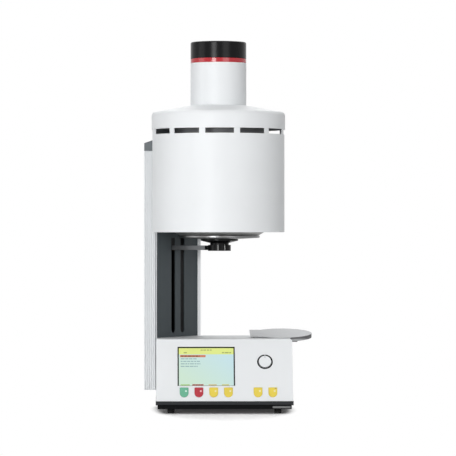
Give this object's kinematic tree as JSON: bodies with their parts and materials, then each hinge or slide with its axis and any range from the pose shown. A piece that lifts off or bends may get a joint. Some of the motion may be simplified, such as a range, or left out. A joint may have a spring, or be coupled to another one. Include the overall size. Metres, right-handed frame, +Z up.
{
  "type": "dental press furnace",
  "caption": "Dental press furnace with a lift on a slotted rear column, a round firing hood over it, a press tube on top, a sloped control panel and a side tray.",
  "frame": {"origin": "on the floor, under the middle of the whole furnace", "axes": "+Z up, +X to the user's right, +Y away from the user, towards the column and the power inlet"},
  "size_m": [0.3576, 0.3125, 0.7834],
  "materials": {
    "white_paint": "satin powder coat",
    "dark_paint": "satin powder coat",
    "column_paint": "satin powder coat",
    "cap_paint": "satin powder coat",
    "red_paint": "satin",
    "black_paint": "satin",
    "profile_paint": "ribbed, light grey",
    "brushed_steel": "brushed",
    "tray_steel": "fine satin sheet",
    "ground_steel": "ground and polished",
    "blackened_steel": "black oxide, oiled",
    "machined_aluminium": "machined",
    "polished_aluminium": "polished",
    "brass": "turned",
    "rubber": "matt",
    "seal_rubber": "matt silicone",
    "black_plastic": "matt",
    "switch_plastic": "gloss",
    "screen_glass": "lit screen",
    "board_laminate": "solder resist",
    "green_key": "soft gloss",
    "red_key": "soft gloss",
    "yellow_key": "soft gloss",
    "dial_paint": "fine satin",
    "fibre_ceramic": "pressed fibre",
    "quartz_ceramic": "milky quartz",
    "fired_ceramic": "matt fired",
    "alumina": "fine matt",
    "coil_alloy": "oxidised"
  },
  "bodies": {
    "furnace": {"base_pan": "dark_paint", "plinth_strip": "brushed_steel", "feet": "rubber", "base_housing": "white_paint", "front_panel": "white_paint", "display_bezel": "black_plastic", "display_module": "screen_glass", "control_board": "board_laminate", "dial_collar": "black_plastic", "power_supply": "brushed_steel", "lift_motor": "black_paint", "rear_panel": "white_paint", "power_inlet": "black_plastic", "vacuum_nipple": "brass", "column_profile": "profile_paint", "column_housing": "white_paint", "column_cover": "column_paint", "column_cap": "cap_paint", "guide_rods": "blackened_steel", "rod_blocks": "machined_aluminium", "head_plate": "brushed_steel", "head_bracket": "brushed_steel", "chamber_flange": "brushed_steel", "chamber_can": "brushed_steel", "insulation": "fibre_ceramic", "muffle": "quartz_ceramic", "heating_coil": "coil_alloy", "thermocouple": "brushed_steel", "hood_shell": "white_paint", "hood_cover": "white_paint", "press_tube": "white_paint", "accent_ring": "red_paint", "press_cap": "black_paint", "press_frame": "machined_aluminium", "press_guide": "brass", "press_motor": "black_paint", "tray_plate": "tray_steel", "tray_bracket": "brushed_steel", "tray_post": "brushed_steel"},
    "lift": {"lift_carriage": "machined_aluminium", "carriage_bushes": "brass", "lift_nut": "brass", "lift_fork": "machined_aluminium", "lift_hub": "black_paint", "lift_plate": "polished_aluminium", "seal_ring": "seal_rubber", "pedestal": "fired_ceramic", "firing_table": "alumina"},
    "screw": {"lift_screw": "blackened_steel"},
    "ram": {"press_ram": "ground_steel", "press_plunger": "alumina"},
    "dial_push": {"dial_plunger": "black_plastic"},
    "dial": {"dial_knob": "dial_paint"},
    "rocker": {"mains_rocker": "switch_plastic"},
    "soft_key_1": {"soft_key_1": "green_key"},
    "soft_key_2": {"soft_key_2": "red_key"},
    "soft_key_3": {"soft_key_3": "yellow_key"},
    "soft_key_4": {"soft_key_4": "yellow_key"},
    "side_key_1": {"side_key_1": "yellow_key"},
    "side_key_2": {"side_key_2": "yellow_key"}
  },
  "joints": [
    {"name": "lift_slide", "type": "slide", "parent": "furnace", "child": "lift", "axis": [0, 0, 1], "range_m": [-0.17, 0]},
    {"name": "screw_turn", "type": "hinge", "parent": "furnace", "child": "screw", "pos_m": [-0.12614, 0.07391, 0.1533], "axis": [0, 0, 1], "range_deg": [-6130, 10]},
    {"name": "ram_slide", "type": "slide", "parent": "furnace", "child": "ram", "axis": [0, 0, 1], "range_m": [-0.055, 0]},
    {"name": "dial_press", "type": "slide", "parent": "furnace", "child": "dial_push", "axis": [0, 0.9041, -0.4274], "range_m": [0, 0.0005], "stiffness_N_per_m": 2000, "springref_m": -0.001},
    {"name": "dial_turn", "type": "hinge", "parent": "dial_push", "child": "dial", "pos_m": [0.07495, -0.11767, 0.10696], "axis": [0, -0.9041, 0.4274], "continuous": true},
    {"name": "rocker_tilt", "type": "hinge", "parent": "furnace", "child": "rocker", "pos_m": [0.06795, 0.1431, 0.062], "axis": [-1, 0, 0], "range_deg": [0, 20]},
    {"name": "soft_key_1_press", "type": "slide", "parent": "furnace", "child": "soft_key_1", "axis": [0, 0.9041, -0.4274], "range_m": [0, 0.0008], "stiffness_N_per_m": 800, "springref_m": -0.001},
    {"name": "soft_key_2_press", "type": "slide", "parent": "furnace", "child": "soft_key_2", "axis": [0, 0.9041, -0.4274], "range_m": [0, 0.0008], "stiffness_N_per_m": 800, "springref_m": -0.001},
    {"name": "soft_key_3_press", "type": "slide", "parent": "furnace", "child": "soft_key_3", "axis": [0, 0.9041, -0.4274], "range_m": [0, 0.0008], "stiffness_N_per_m": 800, "springref_m": -0.001},
    {"name": "soft_key_4_press", "type": "slide", "parent": "furnace", "child": "soft_key_4", "axis": [0, 0.9041, -0.4274], "range_m": [0, 0.0008], "stiffness_N_per_m": 800, "springref_m": -0.001},
    {"name": "side_key_1_press", "type": "slide", "parent": "furnace", "child": "side_key_1", "axis": [0, 0.9041, -0.4274], "range_m": [0, 0.0008], "stiffness_N_per_m": 800, "springref_m": -0.001},
    {"name": "side_key_2_press", "type": "slide", "parent": "furnace", "child": "side_key_2", "axis": [0, 0.9041, -0.4274], "range_m": [0, 0.0008], "stiffness_N_per_m": 800, "springref_m": -0.001}
  ],
  "couplings": [
    {"joint": "screw_turn", "follows": "lift_slide", "rad_per_m": 628.32}
  ]
}
